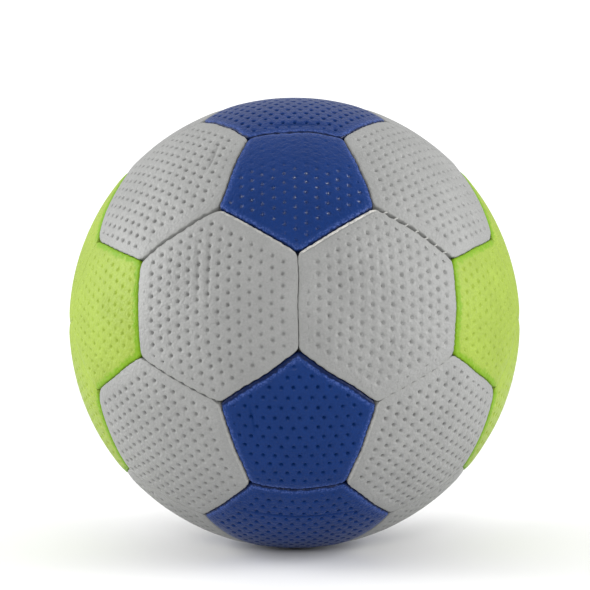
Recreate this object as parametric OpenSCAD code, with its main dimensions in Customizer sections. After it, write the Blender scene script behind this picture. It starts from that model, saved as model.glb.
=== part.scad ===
// A hand-stitched handball: 32 foam-backed panels sewn round a rubber bladder with a needle valve.
// The front of the ball faces -Y, its right side +X and its top +Z, and the origin is its centre.

/* [Ball] */
// Diameter over the middles of the panels
ball_diameter = 175; // [149:1:190]
// Lean of the front seam above the horizontal, as the ball rests
rest_lean = 10; // [0:1:30]

/* [Cover] */
// Thickness of a panel's dimpled skin
skin_thickness = 1; // [0.6:0.1:1.2]
// Thickness of the foam behind the skin
foam_thickness = 3; // [2:0.1:4.5]
// Thickness of the fabric lining behind the foam
lining_thickness = 1; // [0.5:0.1:1.6]
// Glue line between two layers
glue_line = 0.1; // [0.05:0.01:0.2]
// Outside radius that a panel's edge is folded over
fold_radius = 1.4; // [1.3:0.1:3]
// Flat height of the folded-in edge, inside its fold
fold_height = 3; // [2.4:0.1:3.6]
// Gap between the folded-in edges of two panels
seam_gap = 0.4; // [0.2:0.1:0.8]

/* [Stitching] */
// Stitches along each seam
stitch_count = 7; // [4:1:9]
// Distance from a seam's end to its first stitch
stitch_margin = 3.9; // [3.4:0.1:6]
// Diameter of the waxed thread
thread_diameter = 0.9; // [0.8:0.1:1.2]
// Diameter that the thread is pulled down to where it crosses a seam
crossing_diameter = 0.6; // [0.3:0.02:0.64]
// Room between the thread and what it passes
thread_slack = 0.1; // [0.05:0.01:0.2]

/* [Bladder] */
// Wall of the rubber bladder
bladder_wall = 1; // [0.6:0.1:1.6]
// Room between the bladder and the cover, before it is pumped tight
bladder_slack = 0.3; // [0.1:0.05:0.5]

/* [Valve] */
// Diameter of the inflation needle's hole
needle_diameter = 2; // [1.6:0.1:2.6]
// Length of the needle's hole below its funnel
needle_hole_length = 9; // [6:0.5:10]
// Diameter of the funnel's mouth
funnel_diameter = 3; // [2.7:0.1:3.6]
// Depth of the funnel
funnel_depth = 0.8; // [0.4:0.1:1.2]
// Width of the slit that closes below the needle's hole
slit_width = 0.1; // [0.06:0.02:0.2]
// Diameter of the valve core's stem
core_diameter = 4; // [3.6:0.1:4.8]
// Length of the valve core below its head
core_length = 15; // [12:0.5:18]
// Diameter of the valve core's head
head_diameter = 5; // [4.9:0.1:5.4]
// Thickness of the valve core's head
head_thickness = 0.9; // [0.6:0.1:1.3]
// Diameter of the collar that locks the core in its housing
collar_diameter = 5.4; // [5:0.1:6.4]
// Thickness of that collar
collar_thickness = 2; // [1:0.1:3]
// Outside diameter of the housing's neck, which reaches through the panel
neck_diameter = 6.6; // [6.2:0.1:8]
// Depth of the neck's rim below the panel's surface
neck_recess = 0.5; // [0.2:0.1:1]
// Diameter of the housing's root disc, bonded inside the bladder
root_diameter = 26; // [20:1:36]
// Thickness of that root disc
root_thickness = 1.4; // [0.8:0.1:2.4]
// Diameter of the housing's inner boss
boss_diameter = 10; // [8:0.5:14]
// Rubber left below the core's tip in the boss
boss_floor = 1.5; // [1:0.1:3]
// Clearance between the valve's own pieces
valve_clearance = 0.1; // [0.05:0.01:0.2]
// Diameter of the reinforcing patch round the valve hole
patch_diameter = 34; // [24:1:44]
// Thickness of that patch
patch_thickness = 0.4; // [0.3:0.1:0.8]

/* [Hidden] */
$fn = 96;
GREY = [0.66, 0.67, 0.66];
BLUE = [0.08, 0.19, 0.52];
LIME = [0.66, 0.87, 0.2];
golden = (1 + sqrt(5)) / 2;

// Each panel's name, number of sides, direction before the ball leans, and colour.
// Pentagons face the corners of an icosahedron, and hexagons face its sides.
PANELS = [
    ["front_upper_pentagon", 5, [0, -golden, 1], BLUE],
    ["front_lower_pentagon", 5, [0, -golden, -1], BLUE],
    ["back_upper_pentagon", 5, [0, golden, 1], BLUE],
    ["back_lower_pentagon", 5, [0, golden, -1], BLUE],
    ["left_front_pentagon", 5, [-golden, -1, 0], LIME],
    ["left_back_pentagon", 5, [-golden, 1, 0], LIME],
    ["right_front_pentagon", 5, [golden, -1, 0], LIME],
    ["right_back_pentagon", 5, [golden, 1, 0], LIME],
    ["top_left_pentagon", 5, [-1, 0, golden], GREY],
    ["top_right_pentagon", 5, [1, 0, golden], GREY],
    ["bottom_left_pentagon", 5, [-1, 0, -golden], GREY],
    ["bottom_right_pentagon", 5, [1, 0, -golden], GREY],
    ["front_left_hexagon", 6, [-1 / golden, -golden, 0], GREY],
    ["front_right_hexagon", 6, [1 / golden, -golden, 0], GREY],
    ["back_left_hexagon", 6, [-1 / golden, golden, 0], GREY],
    ["back_right_hexagon", 6, [1 / golden, golden, 0], GREY],
    ["top_front_hexagon", 6, [0, -1 / golden, golden], BLUE],
    ["top_back_hexagon", 6, [0, 1 / golden, golden], BLUE],
    ["bottom_front_hexagon", 6, [0, -1 / golden, -golden], BLUE],
    ["bottom_back_hexagon", 6, [0, 1 / golden, -golden], BLUE],
    ["left_upper_hexagon", 6, [-golden, 0, 1 / golden], LIME],
    ["left_lower_hexagon", 6, [-golden, 0, -1 / golden], LIME],
    ["right_upper_hexagon", 6, [golden, 0, 1 / golden], LIME],
    ["right_lower_hexagon", 6, [golden, 0, -1 / golden], LIME],
    ["front_upper_left_hexagon", 6, [-1, -1, 1], GREY],
    ["front_upper_right_hexagon", 6, [1, -1, 1], GREY],
    ["front_lower_left_hexagon", 6, [-1, -1, -1], GREY],
    ["front_lower_right_hexagon", 6, [1, -1, -1], GREY],
    ["back_upper_left_hexagon", 6, [-1, 1, 1], GREY],
    ["back_upper_right_hexagon", 6, [1, 1, 1], GREY],
    ["back_lower_left_hexagon", 6, [-1, 1, -1], GREY],
    ["back_lower_right_hexagon", 6, [1, 1, -1], GREY],
];
VALVE_PANEL = "top_back_hexagon";
INNER_NODES = [
    "hexagon_foam_pads",
    "pentagon_foam_pads",
    "hexagon_linings",
    "pentagon_linings",
    "pentagon_seam_threads",
    "hexagon_seam_threads",
    "valve_patch",
    "bladder",
    "valve_housing",
    "valve_core",
];

function panels_of(sides) = [for (panel = PANELS) if (panel[1] == sides) panel];
function unit(v) = v / norm(v);
function angle_between(a, b) = acos(unit(a) * unit(b));

// Directions that are nearer to d than the given angle.
function near(d, others, angle) = [for (o = others) if (o != d && angle_between(d, o) < angle) o];
pentagon_directions = [for (panel = panels_of(5)) panel[2]];
hexagon_directions = [for (panel = panels_of(6)) panel[2]];
// A pentagon and a hexagon that touch are closer than mixed_angle, and two pentagons one hexagon
// edge apart are closer than pair_angle.
mixed_angle = 40;
pair_angle = 70;
function mark_of(panel) =
    near(panel[2], panel[1] == 5 ? hexagon_directions : pentagon_directions, mixed_angle)[0];

// Angles that turn +Z to direction d, and the roll about d that turns +X towards a mark.
function polar(d) = acos(unit(d).z);
function azimuth(d) = atan2(d.y, d.x);
function southward(d) =
    [cos(polar(d)) * cos(azimuth(d)), cos(polar(d)) * sin(azimuth(d)), -sin(polar(d))];
function eastward(d) = [-sin(azimuth(d)), cos(azimuth(d)), 0];
function roll(d, mark) = atan2(mark * eastward(d), mark * southward(d));

ball_radius = ball_diameter / 2;
half_gap = seam_gap / 2;
// Every seam is an edge of a truncated icosahedron, so this is its chord.
seam_length = 2 * ball_radius / sqrt(9 * golden + 10);
function corner_reach(sides) = seam_length / (2 * sin(180 / sides));
function edge_reach(sides) = seam_length / (2 * tan(180 / sides));
// Angle at the ball's centre from a panel's middle to the middle of its edge.
function edge_angle(sides) =
    atan(edge_reach(sides) / sqrt(pow(ball_radius, 2) - pow(corner_reach(sides), 2)));

// Depths below the ball's surface, from the outside in.
foam_depth = skin_thickness + glue_line;
lining_depth = foam_depth + foam_thickness + glue_line;
patch_depth = lining_depth + lining_thickness + glue_line;
fold_depth = fold_radius + fold_height;
bladder_depth = max(fold_depth, patch_depth + patch_thickness) + bladder_slack;
bladder_radius = ball_radius - bladder_depth;
root_radius = bladder_radius - bladder_wall - glue_line;

// The thread passes through the middle of the folded-in edges, and runs along behind them.
stitch_depth = fold_radius + fold_height / 2;
stitch_radius = ball_radius - stitch_depth;
// Its run is flattened against the folded-in edge, at this share of its diameter from its middle.
flattened_share = 0.25;
run_flat = half_gap + skin_thickness + thread_slack;
run_side = run_flat + flattened_share * thread_diameter;
stitch_hole_diameter = crossing_diameter + 2 * thread_slack;
function along_seam(length) = length / stitch_radius * 180 / PI;
stitch_reach = asin(seam_length / ball_diameter) - along_seam(stitch_margin);
stitch_angles =
    [for (i = [0 : stitch_count - 1]) stitch_reach * (2 * i / (stitch_count - 1) - 1)];
run_reach = stitch_reach + along_seam(thread_diameter);
// The lining ends beside the thread's run, and the foam no nearer than where the skin folds over.
lining_side = run_side + thread_diameter / 2 + thread_slack;
foam_side = max(lining_side, half_gap + fold_radius);

// Heights above the ball's centre, along the valve.
rim_height = ball_radius - neck_recess;
head_base = rim_height - head_thickness;
core_tip = head_base - core_length;
needle_hole_end = rim_height - funnel_depth - needle_hole_length;
boss_end = core_tip - boss_floor;
collar_height = (core_tip + root_radius) / 2;
valve_hole_diameter = neck_diameter + 2 * valve_clearance;

// Length by which a cut runs past what it cuts.
overrun = 1;
// Height by which the fold's arc crosses the ball's surface, so that the two meet at an edge.
fold_crossing = 0.05;
far = 3 * ball_radius;

// Turns +Z to direction d and +X towards the mark, on the ball as it rests.
module facing(d, mark) {
    rotate([-rest_lean, 0, 0])
        rotate([0, polar(d), azimuth(d)])
            rotate([0, 0, roll(d, mark)])
                children();
}

module on_panel(panel) {
    facing(panel[2], mark_of(panel)) children();
}

module on_valve() {
    for (panel = PANELS)
        if (panel[0] == VALVE_PANEL) on_panel(panel) children();
}

// Each edge of a panel: +Z through the middle of the edge, and +X along it.
module on_edges(sides) {
    for (i = [0 : sides - 1])
        rotate([0, 0, i * 360 / sides])
            rotate([0, edge_angle(sides), 0])
                rotate([0, 0, 90])
                    children();
}

// Half of the ball's section on one side of a seam, with the corner at the surface folded over.
module folded_section(inset) {
    side = half_gap + fold_radius;
    reach = sqrt(pow(ball_radius - fold_radius + fold_crossing, 2) - pow(side, 2));
    translate([0, half_gap + inset]) square([reach, far]);
    translate([0, side]) square([far, far]);
    translate([reach, side]) circle(fold_radius - inset);
}

// A panel's outer form, drawn in by the given inset.
module panel_form(sides, inset) {
    intersection() {
        sphere(ball_radius - inset);
        for_each_edge_within(sides) rotate_extrude() folded_section(inset);
    }
}

// The overlap of the child as it is placed at each edge, with the child's +Z facing the panel.
module for_each_edge_within(sides) {
    intersection_for (i = [0 : sides - 1])
        rotate([0, 0, i * 360 / sides])
            rotate([0, edge_angle(sides) - 90, 0])
                children();
}

// A layer behind the skin, cut back from the middle of each seam by the given side.
module pad(sides, side, depth, thickness) {
    difference() {
        intersection() {
            sphere(ball_radius - depth);
            for_each_edge_within(sides) translate([-far / 2, -far / 2, side]) cube(far);
        }
        sphere(ball_radius - depth - thickness);
    }
}

module stitch_holes(sides) {
    hole_length = 2 * (half_gap + skin_thickness + thread_slack);
    on_edges(sides)
        for (angle = stitch_angles)
            rotate([0, angle, 0])
                translate([0, 0, stitch_radius])
                    rotate([90, 0, 0])
                        cylinder(h = hole_length, d = stitch_hole_diameter, center = true);
}

module valve_hole() {
    cylinder(h = ball_radius + overrun, d = valve_hole_diameter);
}

// One cover panel: its skin, folded in along every edge and pierced for the thread.
module cover_panel(panel) {
    sides = panel[1];
    color(panel[3])
        on_panel(panel)
            difference() {
                panel_form(sides, 0);
                panel_form(sides, skin_thickness);
                sphere(ball_radius - fold_depth);
                stitch_holes(sides);
                if (panel[0] == VALVE_PANEL) valve_hole();
            }
}

// One layer of all the panels that have this number of sides.
module pads(sides, side, depth, thickness) {
    for (panel = panels_of(sides))
        on_panel(panel)
            difference() {
                pad(sides, side, depth, thickness);
                if (panel[0] == VALVE_PANEL) valve_hole();
            }
}

module foam_pads(sides) {
    color("lightyellow") pads(sides, foam_side, foam_depth, foam_thickness);
}

module linings(sides) {
    color("whitesmoke") pads(sides, lining_side, lining_depth, lining_thickness);
}

// The thread's section where it runs along a seam, flat on the side that faces the seam.
module run_section() {
    translate([stitch_radius, run_side])
        intersection() {
            circle(d = thread_diameter);
            translate([-thread_diameter, run_flat - run_side]) square(2 * thread_diameter);
        }
}

// The thread of one seam, with +Z through the seam's middle and +X along it. It runs along both
// sides of the seam, and crosses it at each stitch.
module seam_thread() {
    for (side = [0, 1])
        mirror([0, side, 0])
            rotate([90, 0, 0])
                rotate([0, 0, 90 - run_reach])
                    rotate_extrude(angle = 2 * run_reach) run_section();
    for (angle = stitch_angles)
        rotate([0, angle, 0])
            translate([0, 0, stitch_radius])
                rotate([90, 0, 0])
                    cylinder(h = 2 * run_side, d = crossing_diameter, center = true);
}

module pentagon_seam_threads() {
    color("gainsboro")
        for (panel = panels_of(5))
            on_panel(panel) on_edges(5) seam_thread();
}

// Two pentagons one hexagon edge apart have that edge's seam midway between them.
module hexagon_seam_threads() {
    last = len(pentagon_directions) - 1;
    color("gainsboro")
        for (i = [0 : last - 1], j = [i + 1 : last]) {
            a = pentagon_directions[i];
            b = pentagon_directions[j];
            if (angle_between(a, b) < pair_angle) facing(a + b, a - b) seam_thread();
        }
}

// The part of the child that lies within a cylinder round the valve.
module within_disc(diameter) {
    intersection() {
        children();
        cylinder(h = far, d = diameter);
    }
}

module hollow_ball(radius, wall) {
    difference() {
        sphere(radius);
        sphere(radius - wall);
    }
}

module valve_patch() {
    color("dimgray")
        on_valve()
            difference() {
                within_disc(patch_diameter) hollow_ball(ball_radius - patch_depth, patch_thickness);
                valve_hole();
            }
}

module bladder() {
    color([0.1, 0.1, 0.1])
        on_valve()
            difference() {
                hollow_ball(bladder_radius, bladder_wall);
                valve_hole();
            }
}

// A disc between two heights on the valve's axis.
module disc(low, high, diameter) {
    translate([0, 0, low]) cylinder(h = high - low, d = diameter);
}

module housing_outside() {
    disc(root_radius - root_thickness, rim_height, neck_diameter);
    within_disc(root_diameter) hollow_ball(root_radius, root_thickness);
    disc(boss_end, root_radius - root_thickness / 2, boss_diameter);
}

// The stepped space that the valve core fills, up to the given height, grown by the clearance.
module core_space(top, clearance) {
    disc(core_tip - clearance, top, core_diameter + 2 * clearance);
    disc(head_base - clearance, top, head_diameter + 2 * clearance);
    disc(
        collar_height - collar_thickness / 2 - clearance,
        collar_height + collar_thickness / 2 + clearance,
        collar_diameter + 2 * clearance
    );
}

module valve_housing() {
    color([0.13, 0.13, 0.13])
        on_valve()
            difference() {
                housing_outside();
                core_space(rim_height + overrun, valve_clearance);
                disc(boss_end - overrun, core_tip, needle_diameter);
            }
}

module valve_core() {
    color([0.2, 0.2, 0.2])
        on_valve()
            difference() {
                core_space(rim_height, 0);
                disc(needle_hole_end, rim_height + overrun, needle_diameter);
                translate([0, 0, rim_height - funnel_depth])
                    cylinder(h = funnel_depth, d1 = needle_diameter, d2 = funnel_diameter);
                translate([0, 0, (needle_hole_end + core_tip) / 2])
                    cube([needle_diameter, slit_width, needle_hole_end - core_tip + overrun], center = true);
            }
}

for (panel = PANELS)
    cover_panel(panel);
foam_pads(6);  // hexagon_foam_pads
foam_pads(5);  // pentagon_foam_pads
linings(6);  // hexagon_linings
linings(5);  // pentagon_linings
pentagon_seam_threads();
hexagon_seam_threads();
valve_patch();
bladder();
valve_housing();
valve_core();
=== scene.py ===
"""Looks of the stitched handball: dimpled, folded panels, padding, thread, bladder, studio and camera.

Lengths inside the geometry functions are in millimetres. Meshes are made in metres.
"""
import math
import random

import bmesh
import bpy
import numpy as np
from mathutils import Matrix, Vector
from mathutils.geometry import delaunay_2d_cdt


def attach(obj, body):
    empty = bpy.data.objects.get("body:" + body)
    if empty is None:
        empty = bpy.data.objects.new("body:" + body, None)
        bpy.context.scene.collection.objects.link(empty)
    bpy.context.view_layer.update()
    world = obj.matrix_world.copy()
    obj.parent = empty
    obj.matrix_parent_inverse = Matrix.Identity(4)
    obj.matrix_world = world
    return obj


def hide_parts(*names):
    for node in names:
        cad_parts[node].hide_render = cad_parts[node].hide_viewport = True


MM = 0.001
TINY, SAME_POINT = 1e-9, 1e-6
GOLDEN = (1 + math.sqrt(5)) / 2
FULL_TURN = (0, 2 * math.pi)

# The ball and its cover, as in the frame
BALL_RADIUS = 87.5
REST_LEAN = math.radians(10)
SKIN = 1.0
FOLD_DEPTH = 4.4
FLAP_TOP = 2.9
FOAM_DEPTH, FOAM_THICKNESS = 1.1, 3.0
LINING_DEPTH, LINING_THICKNESS = 4.2, 1.0
PAD_SIDE = 2.075
VALVE_HOLE_RADIUS = 3.4
# Radius of the rims of the foam pads and of the linings
FOAM_ROUND, LINING_ROUND = 0.8, 0.2

# Bladder: points round it and down it, and the share of the way down where the last ring lies
BLADDER_RADIUS, BLADDER_WALL = 81.5, 1.0
BLADDER_TURNS, BLADDER_STEPS, BLADDER_END = 160, 80, 0.995
# Raised lines of its mould: their height and width, and how fast they rise from the valve
MOULD_RIDGE, MOULD_WIDTH, MOULD_START = 0.18, 0.9, 3

# Stitching: a run of thread behind each folded edge, crossings between them, and strands in sight
STITCHES = 7
STITCH_REACH = math.radians(9.0)
STITCH_RADIUS = 84.6
THREAD_RADIUS = 0.45
CROSSING_RADIUS = 0.3
RUN_SIDE = 1.525
STRAND_REACH, STRAND_DIVE = 1.1, 0.35
RUN_STEPS, CROSSING_STEPS, STRAND_STEPS = 40, 4, 7
# How far a stitch pulls its run outwards, and how flat the runs are
RUN_PULL, RUN_SQUASH = 0.08, 0.8
# Most that a crossing slants, and the least and most that a strand does, for each mm across
CROSSING_SLANT, STRAND_SLANT = 0.12, (0.5, 0.8)

# How a pumped panel curves away towards its seams, and how uneven it is
CORNER_ROUND, LIME_CORNER_ROUND = 1.7, 4.0
SHOULDER_WIDTH, SHOULDER_DROP = 5.0, 0.42
UNEVEN_WAVES, UNEVEN_HEIGHT, UNEVEN_LENGTH = 7, (0.006, 0.015), (13, 34)
SEAM_BLEND = 0.6

# A raised rim along an edge: its width, and the groove behind it
RIM_WIDTH, RIM_GROOVE, RIM_DEPTH = 1.05, 0.26, 0.34
RIM_FOLD = 0.45
RIM_RINGS = (3.2, 2.8, 2.4)
FINE_RINGS = (2.0, 1.7, 1.5, 1.3, 1.1, 0.85)
FOLD_RINGS = (0.62, 0.42, 0.26, 0.13, 0.04)

# Embossed dimples
DIMPLE_PITCH, DIMPLE_ROWS = 4.4, 3.95
DIMPLE_RADIUS, DIMPLE_DEPTH = 1.15, 0.85
# Rings of points in a dimple: the share of its radius, and the number of points
DIMPLE_RINGS = ((0.26, 6), (0.5, 10), (0.76, 12), (1.04, 14))
# Section of a dimple: how flat its floor is, and how its wall curves
DIMPLE_FLOOR, DIMPLE_CURVE = 1.7, 1.7
# Rows tried on each side of the middle
DIMPLE_SPAN = 12
# How far a panel's rows may shift, in steps, and how far a dimple strays from its place
DIMPLE_SHIFT, DIMPLE_JITTER = 0.5, 0.09
# Insets between which the dimples come up, the share of their depth there, and its spread
DIMPLE_EDGE, EDGE_SHARE = (2.3, 4.6), 0.35
DIMPLE_SPREAD = (0.85, 1.12)

GRAY, BLUE, LIME = "gray_skin", "blue_skin", "lime_skin"
DIMPLE_SHARES = {GRAY: 1.05, BLUE: 0.9, LIME: 0.6}
VALVE_PANEL = "top_back_hexagon"
# Sides of the ball that a panel lies on, along each axis
X_SIDES = ((-1, "left"), (1, "right"))
Y_SIDES = ((-1, "front"), (1, "back"))
Z_SIDES = ((1, "upper"), (-1, "lower"))
POLES = ((1, "top"), (-1, "bottom"))

# Panels whose dimples take less painted shade inside, and the share of it left, and those whose dimples
# shine
PALE_DIMPLES = {"front_right_hexagon": 0.4, "front_upper_right_hexagon": 0.55, "front_upper_pentagon": 0.25}
GLINTS = ("front_upper_pentagon", "front_right_hexagon", "front_upper_right_hexagon")
# Panels whose dimples fade: the way they do, right and up, from where to where, and by what share
WORN = {
    "front_upper_pentagon": ((0, 1), 3.0, 10.0, 0.75),
    "front_left_hexagon": ((1, 0), 3.0, 15.0, 0.25),
}
# Panels whose columns of dimples face a neighbour, and how many degrees further on they are turned
LATTICE_FACES = {
    f"front_{c}_{a}_hexagon": (f"front_{c}_pentagon", 0) for _, a in X_SIDES for _, c in Z_SIDES
} | {
    "front_left_hexagon": ("front_right_hexagon", 0),
    "front_right_hexagon": ("front_left_hexagon", 0),
    "top_front_hexagon": ("front_upper_pentagon", 0),
    "bottom_front_hexagon": ("front_lower_pentagon", 0),
    "front_upper_pentagon": ("top_front_hexagon", 90),
    "front_lower_pentagon": ("bottom_front_hexagon", 0),
}

# Soft creases of each panel: points of the line, right and up from the panel's middle as seen from
# outside, and the crease's width and depth
CREASES = {
    "front_left_hexagon": [
        ([(-3.9, 28.5), (-2.4, 17.7), (-1.3, -0.6)], 0.6, 0.32),
        ([(-8.6, 25.0), (-6.5, 15.8), (-5.4, 1.2)], 0.6, 0.3),
        ([(7.6, -20.0), (9.9, -26.5)], 0.5, 0.12),
    ],
    "front_upper_left_hexagon": [([(15.3, 21.1), (19.9, 10.9), (21.5, 2.9)], 0.6, 0.46)],
    "front_lower_pentagon": [([(-18.3, 12.1), (-16.8, 5.2), (-15.4, -2.4)], 0.6, 0.3)],
    "front_lower_left_hexagon": [([(-3.3, -23.2), (6.2, -24.9), (12.8, -27.0)], 0.5, 0.24)],
    "bottom_front_hexagon": [
        ([(-24.8, 14.4), (-12.2, 14.6), (-0.3, 14.0), (13.9, 13.8), (27, 12.5)], 0.6, 0.4),
    ],
    "top_front_hexagon": [
        ([(-13.5, -25.6), (1.0, -25.3), (15.0, -24.8)], 1.5, 0.35),
        ([(-17.0, -25.0), (-15.6, -28.0)], 0.5, 0.2),
        ([(15.7, -24.5), (14.6, -27.5)], 0.5, 0.2),
    ],
}
# How a crease fades towards its ends: the share of it that stays plain, and the fade's curve
CREASE_END, CREASE_TAPER = 0.04, 0.6
# How pressed in a crease counts as, for each millimetre of its depth; this paints shade into the crease,
# darker where it is deeper
CREASE_SHADE = 1.6

# Meshes: points round a skin's edge, and steps of the grids outside, outside with creases, and inside
SKIN_RING, SKIN_GRID, CREASED_GRID, INNER_GRID = 480, 1.15, 0.7, 4.0
# Points round a pad's edge, and the steps of the grids on its outside and inside
PAD_RING, PAD_GRID, PAD_INNER_GRID = 120, 5.0, 6.0
# Distance between a grid's rows, in steps, its shift off the middle, and its reach in ball radii
GRID_ROW, GRID_SHIFT, GRID_REACH = 0.866, 0.013, 0.45
# Room that a grid leaves at a ring and at the valve's hole, in steps, and at a dimple
RING_ROOM, HOLE_ROOM, DIMPLE_ROOM = 0.55, 0.5, 0.35
# Room that a dimple's points leave at a ring, and room between dimples and the valve's hole
POINT_ROOM, VALVE_ROOM = 0.15, 2
# Points round the valve's hole, and the share of its radius that has no triangles
HOLE_POINTS, HOLE_SHARE = 48, 0.98
# Search for a panel's edge: its reach in ball radii, and how often it halves
EDGE_SEARCH, EDGE_HALVINGS = 0.5, 30
ARC_STEPS, LEAST_FOLD = 3, 0.1
TUBE_SIDES = 8
# Angles over which a mesh shows a sharp edge
SHARP, THREAD_SHARP = 50, 80
# Values of a mesh's points: inset, share of the painted seam shade and of a rim's painted highlight, depth
# pressed, which also paints shade in dimples and creases, and shine
POINT_VALUES = ("inset", "band", "rim", "press", "glint")


def all_panels():
    """Name, sides, direction before the ball leans, and material of each panel."""
    g = GOLDEN
    panels = [(f"{b}_{c}_pentagon", 5, (0, y * g, z), BLUE) for y, b in Y_SIDES for z, c in Z_SIDES]
    panels += [(f"{a}_{b}_pentagon", 5, (x * g, y, 0), LIME) for x, a in X_SIDES for y, b in Y_SIDES]
    panels += [(f"{c}_{a}_pentagon", 5, (x, 0, z * g), GRAY) for z, c in POLES for x, a in X_SIDES]
    panels += [(f"{b}_{a}_hexagon", 6, (x / g, y * g, 0), GRAY) for y, b in Y_SIDES for x, a in X_SIDES]
    panels += [(f"{c}_{b}_hexagon", 6, (0, y / g, z * g), BLUE) for z, c in POLES for y, b in Y_SIDES]
    panels += [(f"{a}_{c}_hexagon", 6, (x * g, 0, z / g), LIME) for x, a in X_SIDES for z, c in Z_SIDES]
    for y, b in Y_SIDES:
        for z, c in Z_SIDES:
            panels += [(f"{b}_{c}_{a}_hexagon", 6, (x, y, z), GRAY) for x, a in X_SIDES]
    return panels


PANELS = all_panels()
SIDES = {name: sides for name, sides, _, _ in PANELS}
SLOTS = {name: slot for name, _, _, slot in PANELS}

# Kinds of seam: half-gap at a stitch and between stitches, how short the pockets between stitches
# are, the radius of the folds, and the depth of the strands that show in the seam's mouth
SEAM_KINDS = {
    "plain": (0.0, 0.08, 0.7, 0.8, None),
    "close": (0.03, 0.1, 0.7, 0.6, None),
    "closed": (-0.12, 0.1, 2.2, 0.35, None),
    "laced": (0.04, 0.32, 1.2, 0.5, None),
    "open": (0.3, 0.62, 0.6, 0.9, 0.6),
    "gaping": (0.36, 0.62, 0.6, 0.6, None),
    "flush": (-0.08, -0.02, 0.7, 0.45, None),
}
# How far down the skins' walls meet in a seam without a gap, and how much less for each mm of gap
MEETING_DEPTH, MEETING_RISE = 2.6, 2.4
# Waves that the seams wander in: their height and their length
SEAM_WAVES = 3 * [((0.05, 0.13), (12, 34))] + 3 * [((0.02, 0.06), (1.8, 4.5))]
# How much broader than the seam's own the folds of each skin are
FOLD_SHARES = {GRAY: 0.6, BLUE: 1.4, LIME: 1.0}
SEAM_KIND = {
    ("front_left_hexagon", "front_right_hexagon"): "close",
    ("front_left_hexagon", "front_upper_left_hexagon"): "gaping",
    ("front_right_hexagon", "front_upper_right_hexagon"): "open",
    ("front_left_hexagon", "front_lower_left_hexagon"): "laced",
    ("front_lower_right_hexagon", "front_right_hexagon"): "closed",
    ("front_upper_pentagon", "top_front_hexagon"): "closed",
}

# Seams that bow into the second of their two panels, and by how much, and the length of a seam
SEAM_BOWS = {
    ("front_lower_pentagon", "bottom_front_hexagon"): 1.9,
    ("front_upper_pentagon", "top_front_hexagon"): 1.3,
}
SEAM_LENGTH = 35.5
# Edges where the painted shade along the seam reaches further in, as the dark band of a fold in shade
BROAD_BANDS = [
    ("front_lower_pentagon", "front_left_hexagon"),
    ("front_lower_pentagon", "front_right_hexagon"),
]

# Edges whose fold stands up as a rim: panel, its neighbour there, and the rim's strength, which also sets
# the painted highlight on the rim
RIMS = {
    ("front_right_hexagon", "front_upper_pentagon"): 1.0,
    ("front_left_hexagon", "front_upper_pentagon"): 0.4,
    ("front_lower_left_hexagon", "front_lower_pentagon"): 0.2,
    ("front_lower_right_hexagon", "front_lower_pentagon"): 0.2,
}

# Leather: scale, detail and roughness of its noises
MOTTLE, PORES, JAGS = (55, 4, 0.6), (1300, 2, 0.7), (520, 2, 0.6)
# These two noises break up the painted highlight along the folds and on the rims
LINE_SPECKLE, RIM_SPECKLE = (1500, 2, 0.6), (620, 2, 0.6)
GRAIN, COARSE_GRAIN = (900, 2, 0.5), (240, 3, 0.6)
# Tones of its colour where it is mottled, in its pores, and, as painted shade, down in its dimples and
# creases
DARK_TONE, LIGHT_TONE, PORE_TONE, PIT_SHADE_TONE = 0.93, 1.05, 0.7, 0.45
PORE_SHARE = 0.25
# How much further in a broad band of painted seam shade reaches, and insets where the painted highlight
# line along a fold starts and ends
BAND_PUSH = 0.9
LINE_START, LINE_END = (0.5, 0.9), (1.1, 2.4)
# Where glints start and are full, and the share of the roughness that they leave
GLINT_SPAN, GLINT_ROUGHNESS = (0.3, 0.7), 0.7
LEATHER_IOR = 1.48
# A leather's seam colour is painted shade along its seams, its rim colour a painted highlight on its rims
# and along its folds, and its share pressed the painted shade down in its dimples and creases
LEATHERS = {
    GRAY: dict(
        name="gray_leather", color=(0.25, 0.252, 0.247), seam_shade=(0.235, 0.237, 0.23),
        rim_highlight=(0.5, 0.49, 0.46), roughness=0.5, shine=0.25, glint=0.9, pit_shade=0.58,
        reach=1.2, jagged=0.3, fold_highlight=0.0,
    ),
    BLUE: dict(
        name="blue_leather", color=(0.0035, 0.0245, 0.125), seam_shade=(0.0015, 0.008, 0.045),
        rim_highlight=(0.06, 0.1, 0.3), roughness=0.36, shine=0.12, glint=1.0, pit_shade=0.9,
        reach=0.8, jagged=0.3, fold_highlight=0.7,
    ),
    LIME: dict(
        name="lime_leather", color=(0.25, 0.34, 0.045), seam_shade=(0.15, 0.285, 0.008),
        rim_highlight=(0.26, 0.345, 0.05), roughness=0.5, shine=0.15, glint=0.2, pit_shade=0.3,
        reach=2.8, jagged=0.8, fold_highlight=0.0,
    ),
}

# Other materials
FOAM_TONES = ((0.74, 0.71, 0.6), (0.84, 0.81, 0.7))
LINING_TONES, WEAVE_SCALE = ((0.55, 0.54, 0.5), (0.78, 0.77, 0.72)), 180
THREAD_TONES = ((0.26, 0.26, 0.245), (0.42, 0.42, 0.4))
TALC = (0.35, 0.35, 0.34)
# Rubbers: colour, roughness, and how much talc shows
RUBBERS = {
    "bladder_rubber": ((0.03, 0.03, 0.032), 0.45, 0.35),
    "patch_rubber": ((0.07, 0.07, 0.07), 0.7, 0.3),
    "valve_rubber": ((0.02, 0.02, 0.02), 0.5, 0.15),
    "core_rubber": ((0.045, 0.045, 0.045), 0.45, 0.1),
}

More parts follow.
